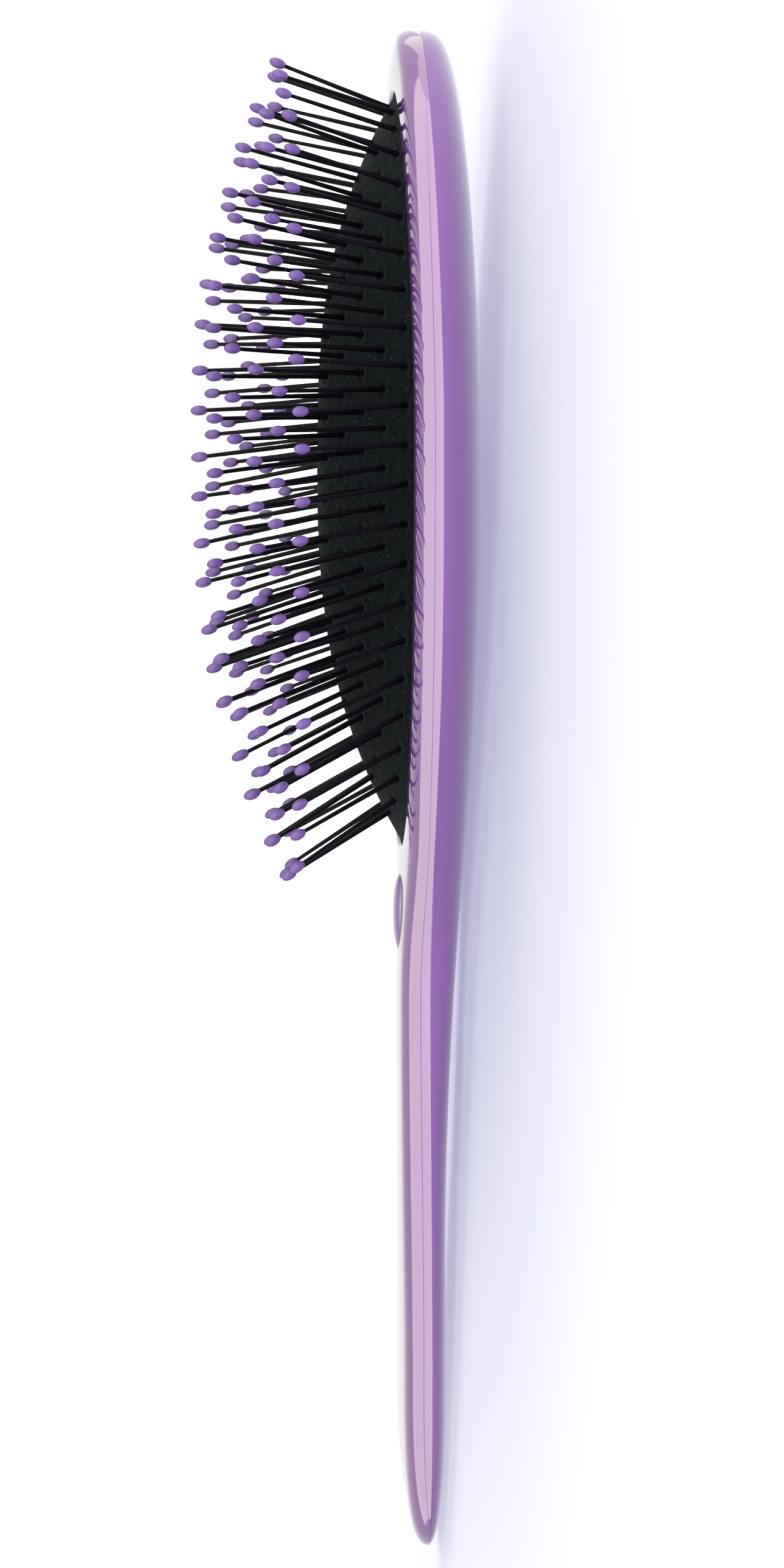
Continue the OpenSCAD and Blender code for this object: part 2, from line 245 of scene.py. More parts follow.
def dome_slope(x, y):
    """Slope of the dome along x and along y."""
    along = (dome(x + tiny, y) - dome(x - tiny, y)) / (2 * tiny)
    across = (dome(x, y + tiny) - dome(x, y - tiny)) / (2 * tiny)
    return along, across


def touching_pitch(start):
    """Pitch at which the brush, on its back, touches the floor at this place of the grip and at the head."""
    rise = under[stations > neck_at] - np.interp(start, stations, under)
    return np.arctan(np.max(rise / (stations[stations > neck_at] - start)))


def touching_place(pitch):
    """Place of the grip that touches the floor at this pitch."""
    depths = np.where(stations < sink_at, under - stations * np.tan(pitch), -1)
    return stations[np.argmax(depths)]


stations = np.linspace(0, brush_l, FINE_STEPS)
under = back_h(stations) - nose(stations)
rest_pitch = touching_pitch(touching_place(touching_pitch(end_round)))
rest_lift = np.max(under * np.cos(rest_pitch) - (stations - brush_l / 2) * np.sin(rest_pitch))
AT_REST = Matrix.Translation((0, 0, rest_lift)) @ Matrix.Rotation(-rest_pitch, 4, "Y")


def mesh_object(name, points, faces):
    """A smooth mesh piece at the origin, its points set in the frame and its doubles merged."""
    mesh = bpy.data.meshes.new(name)
    mesh.from_pydata(points.tolist(), [], faces)
    mesh.transform(AT_REST)
    same_place, no_length = 1e-7, 1e-8
    work = bmesh.new()
    work.from_mesh(mesh)
    bmesh.ops.remove_doubles(work, verts=work.verts, dist=same_place)
    bmesh.ops.dissolve_degenerate(work, edges=work.edges, dist=no_length)
    bmesh.ops.recalc_face_normals(work, faces=work.faces)
    work.to_mesh(mesh)
    work.free()
    mesh.shade_smooth()
    mesh.set_sharp_from_angle(angle=np.radians(SHELL_EDGE))
    piece = bpy.data.objects.new(name, mesh)
    bpy.context.scene.collection.objects.link(piece)
    return piece


def grid_faces(first, rows, cols, closed=False):
    """Four-sided faces between rows of points that lie one behind the other."""
    faces = []
    for k in range(rows - 1):
        for i in range(cols if closed else cols - 1):
            a, j = first + k * cols + i, first + k * cols + (i + 1) % cols
            faces.append((a, j, j + cols, a + cols))
    return faces


def join_sheets(sheets):
    """Points and faces of several sheets, each an array of rows by columns by 3."""
    points, faces = [], []
    for sheet in sheets:
        first = sum(len(p) for p in points)
        faces += grid_faces(first, sheet.shape[0], sheet.shape[1])
        points.append(sheet.reshape(-1, 3))
    return np.concatenate(points), faces


def both_sides(sheets):
    """The sheets of the left side and their mirror images."""
    return sheets + [sheet * [1, -1, 1] for sheet in sheets]


def run_lengths(u, y):
    """Length along a line of points, from its start to each point."""
    return np.concatenate([[0], np.cumsum(np.hypot(np.diff(u), np.diff(y)))])


outline_u = brush_l * (1 - np.cos(np.linspace(0, np.pi, OUTLINE_STEPS))) / 2
outline_y = half_w(outline_u)
outline_run = run_lengths(outline_u, outline_y)


def outline_at(lengths):
    """Points of the left side's plan outline at these lengths along it."""
    return np.interp(lengths, outline_run, outline_u), np.interp(lengths, outline_run, outline_y)


def outline_lengths(places):
    """Lengths along the plan outline at these distances along the brush."""
    return np.interp(places, outline_u, outline_run)


def spaced(stops, counts):
    """Evenly spaced values from stop to stop, with a count of steps for each stretch."""
    parts = [np.linspace(a, b, n, endpoint=False) for a, b, n in zip(stops, stops[1:], counts)]
    return np.concatenate(parts + [[stops[-1]]])


def oval(t, a, b):
    """Point at angle t of an oval with these half sizes."""
    c, s = np.cos(t), np.sin(t)
    return a * np.sign(c) * abs(c) ** (2 / oval_n), b * np.sign(s) * abs(s) ** (2 / oval_n)


def opening_point(t, grow):
    """Point of the opening's edge, grown evenly, at angle t."""
    x, y = oval(t, oval_a + grow, oval_b + grow)
    return head_at + x, y


def opening_line(t, grow):
    """Points of the opening's edge, grown evenly, whose ends lie in the middle of the brush."""
    u, y = opening_point(t, grow)
    y[0], y[-1] = 0, 0
    return u, y


def opening_angles(count):
    """Angles from the mouth round one side to the top, evenly spaced along the opening's edge."""
    t = np.linspace(np.pi, 0, FINE_STEPS)
    lengths = run_lengths(*opening_point(t, 0))
    angles = np.interp(np.linspace(0, lengths[-1], count + 1), lengths, t)
    angles[0], angles[-1] = np.pi, 0
    return angles


def lay(u, y, z):
    """Points from distances along the brush, places to the side and heights over the parting line."""
    u, y, z = np.broadcast_arrays(u, y, z)
    return np.stack([u - brush_l / 2, y, z + nose(u)], axis=-1)


def between(edge, inner, shares):
    """Places along the brush and to the side, at shares of the way from the outline to the inner line."""
    return mix(edge[0], inner[0], shares), mix(edge[1], inner[1], shares)


def span(edge, inner):
    """Distance from the outline to the inner line."""
    return np.hypot(inner[0] - edge[0], inner[1] - edge[1])


def seam_line(edge, inner):
    """Bottom of the groove along the seam."""
    return lay(*between(edge, inner, groove / span(edge, inner)), 0)


def skin(edge, inner, height, rise, side):
    """Outer skin of a half from the seam to the inner line, with a fine groove along the seam."""
    shares = (np.arange(1, SKIN_ROWS + 1) / SKIN_ROWS) ** 2
    u, y = between(edge, inner, shares[:, None])
    z = height(u) * rise(y, half_w(u))
    start = np.stack([seam_line(edge, inner), lay(edge[0], edge[1], side * groove)])
    return np.concatenate([start, lay(u, y, side * np.maximum(z, groove))])


def hollow(edge, inner, height, side, open_shares):
    """Flat band along the parting line and the hollow inside it, which closes where the share is 0."""
    start = np.minimum(wall / span(edge, inner), 0.5)
    steps = np.linspace(0, 1, HOLLOW_ROWS)[:, None]
    u, y = between(edge, inner, start + (1 - start) * steps)
    depth = np.maximum(hollow_min, height(u) - wall) * fall(1 - steps, section_n) * open_shares
    return np.concatenate([seam_line(edge, inner)[None], lay(u, y, side * depth)])


def front_shell_piece():
    """Front half: skin, rounded lip and wall of the opening, pocket for the flange, hollow handle."""
    t = opening_angles(OVAL_STEPS)
    near_mouth = mouth_at - mouth_lead
    stops = outline_lengths(np.array([0, grip_end, near_mouth, head_at, brush_l]))
    top_stop = stops[-1] - top_lead
    edge = outline_at(spaced([*stops[:-1], top_stop, stops[-1]],
                             [GRIP_STEPS, HANDLE_STEPS, OVAL_STEPS // 2, OVAL_STEPS // 2, TOP_STEPS]))

    def inner_line(grow):
        before = spaced([inner_start, grip_end, mouth_at - grow], [GRIP_STEPS, HANDLE_STEPS])[:-1]
        after = spaced([top_at + grow, brush_l - front_inner_end], [TOP_STEPS])[1:]
        u, y = opening_line(t, grow)
        return np.concatenate([before, u, after]), np.concatenate([0 * before, y, 0 * after])

    def ring(grow, z):
        return lay(*opening_line(t, grow), z)

    first = GRIP_STEPS + HANDLE_STEPS
    rim = slice(first, first + OVAL_STEPS + 1)
    outer = skin(edge, inner_line(lip_r), front_h, front_rise, 1)
    pocket_w = flange_w + groove
    closed_steps, closing_steps = 4, 12
    open_shares = np.clip((first - closed_steps - np.arange(len(edge[0]))) / closing_steps, 0, 1)
    inside = hollow(edge, inner_line(pocket_w), front_h, 1, open_shares)

    lip = [outer[-1][rim]]
    edge_u, edge_y = opening_point(t, lip_r)
    edge_z = front_h(edge_u) * front_rise(edge_y, half_w(edge_u))
    for k in range(1, LIP_STEPS + 1):
        angle = np.pi / 2 * k / LIP_STEPS
        lip.append(ring(lip_r * (1 - np.sin(angle)), edge_z - lip_r * (1 - np.cos(angle))))
    lip += [ring(0, flange_top), ring(pocket_w, flange_top), inside[-1][rim]]
    return mesh_object("front_half", *join_sheets(both_sides([outer, inside, np.stack(lip)])))


def back_shell_piece():
    """Back half: a shallow rounded trough."""
    steps = [GRIP_STEPS, HANDLE_STEPS + OVAL_STEPS // 2, OVAL_STEPS // 2 + TOP_STEPS]
    edge = outline_at(spaced(outline_lengths(np.array([0, grip_end, head_at, brush_l])), steps))
    line = spaced([inner_start, grip_end, head_at, brush_l - back_inner_end], steps)
    inner = (line, 0 * line)
    outer = skin(edge, inner, back_h, back_rise, -1)
    inside = hollow(edge, inner, back_h, -1, np.ones(len(line)))
    return mesh_object("back_half", *join_sheets(both_sides([outer, inside])))


def boss_piece():
    """Plain oval pad on the front of the neck, rounded over."""
    around, up, least_share = 72, 12, 0.02
    t = np.linspace(0, 2 * np.pi, around, endpoint=False)
    rows = []
    for angle in np.linspace(0, np.pi / 2, up):
        share = max(np.cos(angle) ** (2 / oval_n), least_share)
        z = front_h(np.array(boss_at)) - boss_sink + (boss_h + boss_sink) * np.sin(angle) ** (2 / oval_n)
        rows.append(lay(boss_at + share * boss_l / 2 * np.cos(t), share * boss_w / 2 * np.sin(t), z))
    points = np.stack(rows).reshape(-1, 3)
    faces = grid_faces(0, up, around, closed=True)
    faces += [tuple(range(around)), tuple((up - 1) * around + i for i in range(around))]
    return mesh_object("neck_boss", points, faces)


def ring_point(ring, t):
    """Place of a ring of pins at angle t from its widest place."""
    a = oval_a - ring_end_inset - ring * ring_step
    b = oval_b - ring_inset - ring * ring_step
    return np.stack([a * np.sin(t) ** (2 / oval_n), b * np.cos(t) ** (2 / oval_n)], axis=-1)


def quarter_ring(ring):
    """Pins of a quarter ring: even rings have one at the widest place, odd rings stand astride it."""
    t = np.radians(np.linspace(0, 90, 91))
    before_right_angle = np.pi / 2 - 1e-12
    lengths = run_lengths(*ring_point(ring, np.clip(t, 0, before_right_angle)).T)
    shift = 0 if ring % 2 == 0 else 0.5
    gaps = np.floor(lengths[-1] / pin_pitch + shift) + 0.5 - shift
    places = (np.arange(int(np.ceil(gaps))) + shift) * lengths[-1] / gaps
    return ring_point(ring, np.interp(places, lengths, t))


def row_places():
    """Pin places by row: 0 is the centre row, 1 to ROWS lie to the left and their mirrors to the right."""
    rows = {k: [] for k in range(ROWS + 1)}
    for ring in range(rings):
        for x, y in quarter_ring(ring):
            row = int(np.clip(np.floor(y / row_step + 0.5), 1, ROWS))
            rows[row] += [(field_shift + x, y)] + ([(field_shift - x, y)] if x > tiny else [])
    half = int((oval_a - ring_end_inset - (rings - 1) * ring_step) / pin_pitch)
    rows[0] = [(field_shift + (i + 0.5) * pin_pitch, 0.0) for i in range(-half, half)]
    return {k: np.array(places) for k, places in rows.items()}


def pin_axes(places):
    """Direction in which each pin stands, with a height of 1."""
    x, y = places.T
    swing = [sway * np.sin(np.radians(x * sway_strides[k] + y * sway_strides[k + 1])) for k in (0, 2)]
    along = rake - end_fan * x / (oval_a - ring_end_inset) + swing[0]
    across = np.degrees(np.arctan(-dome_slope(x, y)[1])) + np.where(y == 0, 0, swing[1])
    return np.stack([-np.tan(np.radians(along)), np.tan(np.radians(across)), np.ones(len(x))], axis=-1)


def pin_feet(places):
    """Points where the pins leave the rubber."""
    x, y = places.T
    return lay(head_at + x, y, dome_z + dome(x, y))


PLACES = row_places()
SIDES = (("left", 1), ("right", -1))
ROW_SIDES = [("centre", 0, 1)]
ROW_SIDES += [(f"{name}_{k}", k, side) for name, side in SIDES for k in range(1, ROWS + 1)]


def dents(points):
    """How far the rubber dips round the pins: a small ring bulge with a dip where each pin goes in."""
    feet = np.concatenate([pin_feet(PLACES[k]) * [1, side, 1] for name, k, side in ROW_SIDES])
    near = np.full(len(points), brush_l)
    for foot in feet:
        near = np.minimum(near, np.linalg.norm(points - foot, axis=1))
    dip_r, dip = 0.0008, 0.00022
    bulge_r, bulge_w, bulge = 0.0015, 0.0005, 0.00007
    return bulge * np.exp(-((near - bulge_r) / bulge_w) ** 2) - dip * np.exp(-(near / dip_r) ** 2)


def dome_row(t, share, sink, grow):
    """Ring of the dome at a share of its size; x is measured from the middle of the opening."""
    x, y = oval(t, share * (dome_a + grow), share * (dome_b + grow))
    return x, y, dome_z + dome(x, y) - sink


def cushion_piece():
    """Rubber pad: crowned dome with a dip at each pin, upright edge and flange under the rim."""
    around, top_rows, under_rows = 384, 96, 16
    t = np.linspace(0, 2 * np.pi, around, endpoint=False)
    rows = [dome_row(t, share, 0, 0) for share in np.linspace(1 / top_rows, 1, top_rows)]
    top = np.stack([lay(head_at + x, y, z) for x, y, z in rows]).reshape(-1, 3)
    slope = np.stack([np.stack(dome_slope(x, y), axis=-1) for x, y, z in rows]).reshape(-1, 2)
    normal = np.concatenate([-slope, np.ones((len(slope), 1))], axis=1)
    normal /= np.linalg.norm(normal, axis=1)[:, None]
    top += normal * dents(top)[:, None]

    def flat(grow, z):
        return lay(*opening_point(t, grow), z)

    edge = [flat(-edge_gap, flange_top), flat(flange_w, flange_top), flat(flange_w, flange_z),
            flat(-cushion_t - edge_gap, flange_z)]
    under = []
    for share in np.linspace(1, 1 / under_rows, under_rows):
        x, y, z = dome_row(t, share, cushion_t, -cushion_t)
        under.append(lay(head_at + x, y, z))
    peak = dome_z + dome_h
    poles = lay(head_at, np.array([0.0, 0.0]), np.array([peak, peak - cushion_t]))
    points = np.concatenate([top, *edge, *under, poles])
    row_count = top_rows + len(edge) + under_rows
    faces = grid_faces(0, row_count, around, closed=True)
    crown_pole, cave_pole = row_count * around, row_count * around + 1
    last = (row_count - 1) * around
    for i in range(around):
        j = (i + 1) % around
        faces += [(crown_pole, i, j), (cave_pole, last + j, last + i)]
    piece = mesh_object("rubber_pad", points, faces)
    lay_weave_map(piece)
    return piece


def lay_weave_map(piece):
    """UV map in metres along the dome's surface, so that the pits keep their size on its flanks."""
    mesh = piece.data
    co = np.empty(len(mesh.vertices) * 3)
    mesh.vertices.foreach_get("co", co)
    back = np.array(AT_REST.inverted())
    local = co.reshape(-1, 3) @ back[:3, :3].T + back[:3, 3]
    x, y = local[:, 0] - opening_x, local[:, 1]
    slices = 24
    steps = (np.arange(slices) + 0.5) / slices
    slopes = dome_slope(x[:, None], abs(y)[:, None] * steps)[1]
    run = np.sign(y) * abs(y) * np.sqrt(1 + slopes ** 2).mean(axis=1)
    uv = np.stack([x, run], axis=1)
    loops = np.empty(len(mesh.loops), int)
    mesh.loops.foreach_get("vertex_index", loops)
    mesh.uv_layers.new(name="weave").data.foreach_set("uv", uv[loops].ravel())


def lathe(name, profile, sides):
    """Closed turned shape from (radius, height) points that begin and end on the axis."""
    t = np.linspace(0, 2 * np.pi, sides, endpoint=False)
    rows = [np.stack([r * np.cos(t), r * np.sin(t), np.full(sides, z)], axis=-1) for r, z in profile[1:-1]]
    points = np.concatenate(rows + [[(0, 0, profile[0][1])], [(0, 0, profile[-1][1])]])
    faces = grid_faces(0, len(rows), sides, closed=True)
    low, high, last = len(points) - 2, len(points) - 1, (len(rows) - 1) * sides
    for i in range(sides):
        j = (i + 1) % sides
        faces += [(low, j, i), (high, last + i, last + j)]
    mesh = bpy.data.meshes.new(name)
    mesh.from_pydata(points.tolist(), [], faces)
    mesh.shade_smooth()
    mesh.set_sharp_from_angle(angle=np.radians(PIN_EDGE))
    return bpy.data.objects.new(name, mesh)


def pin_shape():
    """Tapering shank with the flat head that holds it inside the rubber."""
    sides = 10
    foot = -cushion_t - head_gap - head_t
    r, end_r = pin_d / 2, pin_end_d / 2
    head = [(0, foot), (head_d / 2, foot), (head_d / 2, foot + head_t), (r, foot + head_t)]
    return lathe("pin_shape", head + [(r, 0), (end_r, pin_l), (0, pin_l)], sides)


def tip_shape():
    """Soft oval bead over the end of the pin, open below for it."""
    sides, bead_rows, top_angle = 12, 6, np.radians(70)
    r, half = tip_d / 2, tip_l / 2
    middle = pin_l + r - half
    socket = pin_end_d / 2 + socket_fit
    low = np.arccos((socket + tip_wall) / r)
    bead = [(r * np.cos(a), middle + half * np.sin(a)) for a in np.linspace(-low, top_angle, bead_rows)]
    foot = bead[0][1]
    mouth = [(0, foot + socket), (socket, foot + socket), (socket, foot)]
    return lathe("tip_shape", mouth + bead + [(0, middle + half)], sides)


def link(tree, source, target):
    """Joins two sockets of a node tree."""
    tree.links.new(source, target)


def stand_tree():
    """Geometry Nodes tree that stands a shape on each point along its axis, turned by chance about it."""
    tree = bpy.data.node_groups.new("stand_on_rubber", "GeometryNodeTree")
    kinds = {"Geometry": "Geometry", "Shape": "Object", "Girth": "Float", "Seed": "Int", "Finish": "Material"}
    for name, kind in kinds.items():
        tree.interface.new_socket(name, in_out="INPUT", socket_type="NodeSocket" + kind)
    tree.interface.new_socket("Geometry", in_out="OUTPUT", socket_type="NodeSocketGeometry")
    new = tree.nodes.new
    source, result = new("NodeGroupInput"), new("NodeGroupOutput")
    shape = new("GeometryNodeObjectInfo")
    axis = new("GeometryNodeInputNamedAttribute")
    axis.data_type = "FLOAT_VECTOR"
    axis.inputs["Name"].default_value = "axis"
    align = new("FunctionNodeAlignRotationToVector")
    align.axis = "Z"
    chance = new("FunctionNodeRandomValue")
    chance.data_type = "FLOAT"
    chance.inputs["Max"].default_value = 2 * np.pi
    drawn = [socket for socket in chance.outputs if socket.enabled][0]
    about = new("FunctionNodeAxisAngleToRotation")
    turn = new("FunctionNodeRotateRotation")
    turn.rotation_space = "LOCAL"
    girth = new("ShaderNodeCombineXYZ")
    girth.inputs["Z"].default_value = 1
    stand = new("GeometryNodeInstanceOnPoints")
    real = new("GeometryNodeRealizeInstances")
    finish = new("GeometryNodeSetMaterial")
    link(tree, source.outputs["Shape"], shape.inputs["Object"])
    link(tree, axis.outputs["Attribute"], align.inputs["Vector"])
    link(tree, source.outputs["Seed"], chance.inputs["Seed"])
    link(tree, drawn, about.inputs["Angle"])
    link(tree, align.outputs["Rotation"], turn.inputs["Rotation"])
    link(tree, about.outputs["Rotation"], turn.inputs["Rotate By"])
    for across in ("X", "Y"):
        link(tree, source.outputs["Girth"], girth.inputs[across])
    link(tree, source.outputs["Geometry"], stand.inputs["Points"])
    link(tree, shape.outputs["Geometry"], stand.inputs["Instance"])
    link(tree, turn.outputs["Rotation"], stand.inputs["Rotation"])
    link(tree, girth.outputs["Vector"], stand.inputs["Scale"])
    link(tree, stand.outputs["Instances"], real.inputs["Geometry"])
    link(tree, real.outputs["Geometry"], finish.inputs["Geometry"])
    link(tree, source.outputs["Finish"], finish.inputs["Material"])
    link(tree, finish.outputs["Geometry"], result.inputs["Geometry"])
    return tree


def set_input(modifier, name, value):
    """Sets a named input of a Geometry Nodes modifier by its identifier."""
    for item in modifier.node_group.interface.items_tree:
        if item.item_type == "SOCKET" and item.in_out == "INPUT" and item.name == name:
            modifier[item.identifier] = value


def stand_row(name, row, side, shape, tree, finish, seed):
    """One row of pins or tips as a plain mesh."""
    feet = pin_feet(PLACES[row]) * [1, side, 1]
    axes = pin_axes(PLACES[row]) * [1, side, 1]
    turn = np.array(AT_REST)
    mesh = bpy.data.meshes.new(name + "_points")
    mesh.from_pydata((feet @ turn[:3, :3].T + turn[:3, 3]).tolist(), [], [])
    axis = mesh.attributes.new("axis", "FLOAT_VECTOR", "POINT")
    axis.data.foreach_set("vector", (axes @ turn[:3, :3].T).ravel())
    piece = bpy.data.objects.new(name, mesh)
    bpy.context.scene.collection.objects.link(piece)
    modifier = piece.modifiers.new("stand", "NODES")
    modifier.node_group = tree
    set_input(modifier, "Shape", shape)
    set_input(modifier, "Girth", 1.0)
    set_input(modifier, "Seed", seed)
    set_input(modifier, "Finish", finish)
    bpy.context.view_layer.update()
    whole = bpy.data.meshes.new_from_object(piece.evaluated_get(bpy.context.evaluated_depsgraph_get()))
    piece.modifiers.remove(modifier)
    piece.data = whole
    return piece


class Finish:
    """A node material: a Principled shader and short calls for the nodes that feed it."""

    def __init__(self, name, **values):
        self.material = bpy.data.materials.new(name)
        self.material.use_nodes = True
        self.tree = self.material.node_tree
        self.shader = self.tree.nodes["Principled BSDF"]
        for key, value in values.items():
            self.shader.inputs[key.replace("_", " ")].default_value = value

    def give(self, socket, value):
        """Links a socket to an output, or sets its plain value."""
        if isinstance(value, bpy.types.NodeSocket):
            self.tree.links.new(value, socket)
        else:
            socket.default_value = value

    def node(self, kind, settings=None, **inputs):
        """Adds a node with these settings, and links its inputs or sets their values."""
        node = self.tree.nodes.new(kind)
        for key, value in (settings or {}).items():
            setattr(node, key, value)
        for key, value in inputs.items():
            self.give(node.inputs[key.replace("_", " ")], value)
        return node

    def object_place(self):
        """Place on the piece, in metres."""
        return self.node("ShaderNodeTexCoord").outputs["Object"]

    def noise(self, place, scale, detail, rough=0.5):
        """Cloudy noise from 0 to 1, with this many clouds per metre."""
        node = self.node("ShaderNodeTexNoise", Vector=place, Scale=scale, Detail=detail, Roughness=rough)
        return node.outputs["Fac"]

    def band(self, value, low, high, to_low=0.0, to_high=1.0):
        """Turns the values from low to high into those from to_low to to_high."""
        node = self.node("ShaderNodeMapRange", Value=value, From_Min=low, From_Max=high)
        node.inputs["To Min"].default_value = to_low
        node.inputs["To Max"].default_value = to_high
        return node.outputs["Result"]

    def spread(self, noise, to_low=0.0, to_high=1.0):
        """Spreads a noise, whose values lie about the middle, over a whole range."""
        return self.band(noise, 0.3, 0.7, to_low, to_high)

    def stretch(self, place, scale):
        """Place multiplied by a scale for each axis."""
        return self.node("ShaderNodeMapping", Vector=place, Scale=scale).outputs["Vector"]

    def sum(self, a, b, share=1.0):
        """First value plus a share of the second."""
        node = self.node("ShaderNodeMath", {"operation": "MULTIPLY_ADD"})
        for socket, value in zip(node.inputs, (b, share, a)):
            self.give(socket, value)
        return node.outputs[0]

    def blend(self, share, a, b):
        """Colour at a share of the way from one colour to another."""
        node = self.node("ShaderNodeMix", {"data_type": "RGBA"})
        for slot, value in ((0, share), (6, a), (7, b)):
            self.give(node.inputs[slot], value)
        return node.outputs[2]

    def feed(self, name, source):
        """Links an output to a named input of the shader."""
        self.tree.links.new(source, self.shader.inputs[name])

    def relief(self, height, depth):
        """Fine unevenness of the surface, of this depth in metres."""
        bump = self.node("ShaderNodeBump", Height=height, Distance=depth, Strength=1.0)
        self.feed("Normal", bump.outputs["Normal"])


def colour(red, green, blue):
    """Linear colour from the 0 to 255 values that a screen shows."""
    values = np.array([red, green, blue]) / 255
    linear = np.where(values <= 0.04045, values / 12.92, ((values + 0.055) / 1.055) ** 2.4)
    return (*linear.tolist(), 1.0)


def shell_finish():
    """Polished purple plastic with faint moulding swirls and fine rub marks along the brush."""
    finish = Finish("polished_purple", IOR=1.5, Specular_IOR_Level=0.1, Coat_Weight=1.0, Coat_Roughness=0.03,
                    Coat_IOR=2.0)
    place = finish.object_place()
    swirl = finish.noise(finish.stretch(place, (12, 40, 40)), 1.0, 3.0)
    finish.feed("Base Color", finish.blend(finish.spread(swirl), colour(132, 79, 160), colour(141, 88, 169)))
    rubs = finish.noise(finish.stretch(place, (60, 2600, 2600)), 1.0, 3.0, 0.7)
    polish = finish.spread(finish.noise(place, 90.0, 3.0), 0.1, 0.14)
    finish.feed("Roughness", finish.sum(polish, finish.band(rubs, 0.5, 0.8, 0.0, 0.08)))
    finish.relief(finish.noise(place, 700.0, 2.0), 0.000004)
    return finish.material


def rubber_finish():
    """Matt black rubber with a lattice of fine pits, painted near-black as shade inside them, and a little
    dust.
    """
    pits_per_metre, lattice_turn = 2100.0, 0.785
    finish = Finish("pitted_rubber", IOR=1.25, Specular_IOR_Level=0.02,
                    Sheen_Weight=0.1, Sheen_Roughness=0.4, Sheen_Tint=colour(190, 205, 215))
    weave = finish.node("ShaderNodeUVMap", {"uv_map": "weave"}).outputs["UV"]
    turned = finish.node("ShaderNodeVectorRotate", {"rotation_type": "Z_AXIS"},
                         Vector=weave, Angle=lattice_turn).outputs["Vector"]
    lattice = finish.node("ShaderNodeTexVoronoi", {"voronoi_dimensions": "2D"},
                          Vector=turned, Scale=pits_per_metre, Randomness=0.25)
    pit_depth_and_shade = finish.band(lattice.outputs["Distance"], 0.2, 0.6)
    place = finish.object_place()
    specks = finish.band(finish.noise(place, 2300.0, 2.0, 0.4), 0.68, 0.76)
    # The pits are painted near-black as painted shade in the recesses; the same mask also gives their bump
    # depth.
    base = finish.blend(pit_depth_and_shade, colour(0, 1, 2), colour(24, 29, 32))
    finish.feed("Base Color", finish.blend(specks, base, colour(70, 80, 90)))
    finish.feed("Roughness", finish.spread(finish.noise(place, 120.0, 3.0), 0.46, 0.6))
    finish.relief(finish.sum(pit_depth_and_shade, finish.noise(place, 900.0, 3.0), 0.5), 0.00006)
    return finish.material


def nylon_finish():
    """Dark nylon with a faint violet cast, slightly scuffed."""
    finish = Finish("dark_nylon", IOR=1.4, Specular_IOR_Level=0.1)
    place = finish.object_place()
    cast = finish.spread(finish.noise(place, 160.0, 2.0))
    finish.feed("Base Color", finish.blend(cast, colour(9, 7, 13), colour(15, 12, 22)))
    finish.feed("Roughness", finish.spread(finish.noise(place, 1500.0, 3.0), 0.3, 0.42))
    finish.relief(finish.noise(place, 2600.0, 2.0), 0.000008)
    return finish.material


def tip_finish():
    """Satin purple of the moulded tips."""
    finish = Finish("satin_tips", IOR=1.47, Subsurface_Weight=0.12, Subsurface_Scale=0.0005)
    place = finish.object_place()
    tone = finish.spread(finish.noise(place, 300.0, 2.0))
    finish.feed("Base Color", finish.blend(tone, colour(108, 78, 152), colour(126, 94, 172)))
    finish.feed("Roughness", finish.spread(finish.noise(place, 1800.0, 3.0), 0.3, 0.42))
    finish.relief(finish.noise(place, 3000.0, 2.0), 0.000006)
    return finish.material


FLOOR = (0.28, 0.29, 0.31, 1)
# Glow of the floor near the brush: a painted lilac shade; further out it glows plain white.
FLOOR_PAINTED_SHADE = (0.36, 0.355, 0.5, 1)
FLOOR_FAR = (1, 1, 1, 1)
CARD_TINT = (1, 0.94, 0.76, 1)
SKY = (0.93, 0.95, 1.0, 1)
SKY_LEVEL = 0.38
SEEN_SKY = (1, 1, 1, 1)


def either(tree, a, b):
    """The larger of two values in a node tree."""
    larger = tree.nodes.new("ShaderNodeMath")
    larger.operation = "MAXIMUM"
    link(tree, a, larger.inputs[0])
    link(tree, b, larger.inputs[1])
    return larger.outputs[0]


def seen_rays(tree):
    """Share of 1 for rays from the camera, from gloss and through glass."""
    rays = tree.nodes.new("ShaderNodeLightPath").outputs
    seen = either(tree, rays["Is Camera Ray"], rays["Is Glossy Ray"])
    return either(tree, seen, rays["Is Transmission Ray"])


def floor_piece():
    """Pale floor under the brush: it keeps the object's real shadow, and its glow paints a lilac shade round
    the brush that pales to white away from it.
    """
    size, near, far, painted_shade_stretch = 3.0, 0.06, 0.34, (1.35, 1, 1)
    corners = [(-size, -size, 0), (size, -size, 0), (size, size, 0), (-size, size, 0)]
    mesh = bpy.data.meshes.new("floor")
    mesh.from_pydata(corners, [], [(0, 1, 2, 3)])
    floor = bpy.data.objects.new("floor", mesh)
    bpy.context.scene.collection.objects.link(floor)
    finish = Finish("pale_floor_painted_shade", Roughness=1.0, Specular_IOR_Level=0.0, Base_Color=FLOOR)
    place = finish.stretch(finish.object_place(), painted_shade_stretch)
    reach = finish.node("ShaderNodeVectorMath", {"operation": "LENGTH"}, Vector=place).outputs["Value"]
    # The glow paints a lilac shade round the brush, fading to plain white between these reaches.
    finish.feed("Emission Color", finish.blend(finish.band(reach, near, far), FLOOR_PAINTED_SHADE, FLOOR_FAR))
    finish.feed("Emission Strength", seen_rays(finish.tree))
    mesh.materials.append(finish.material)
    return floor


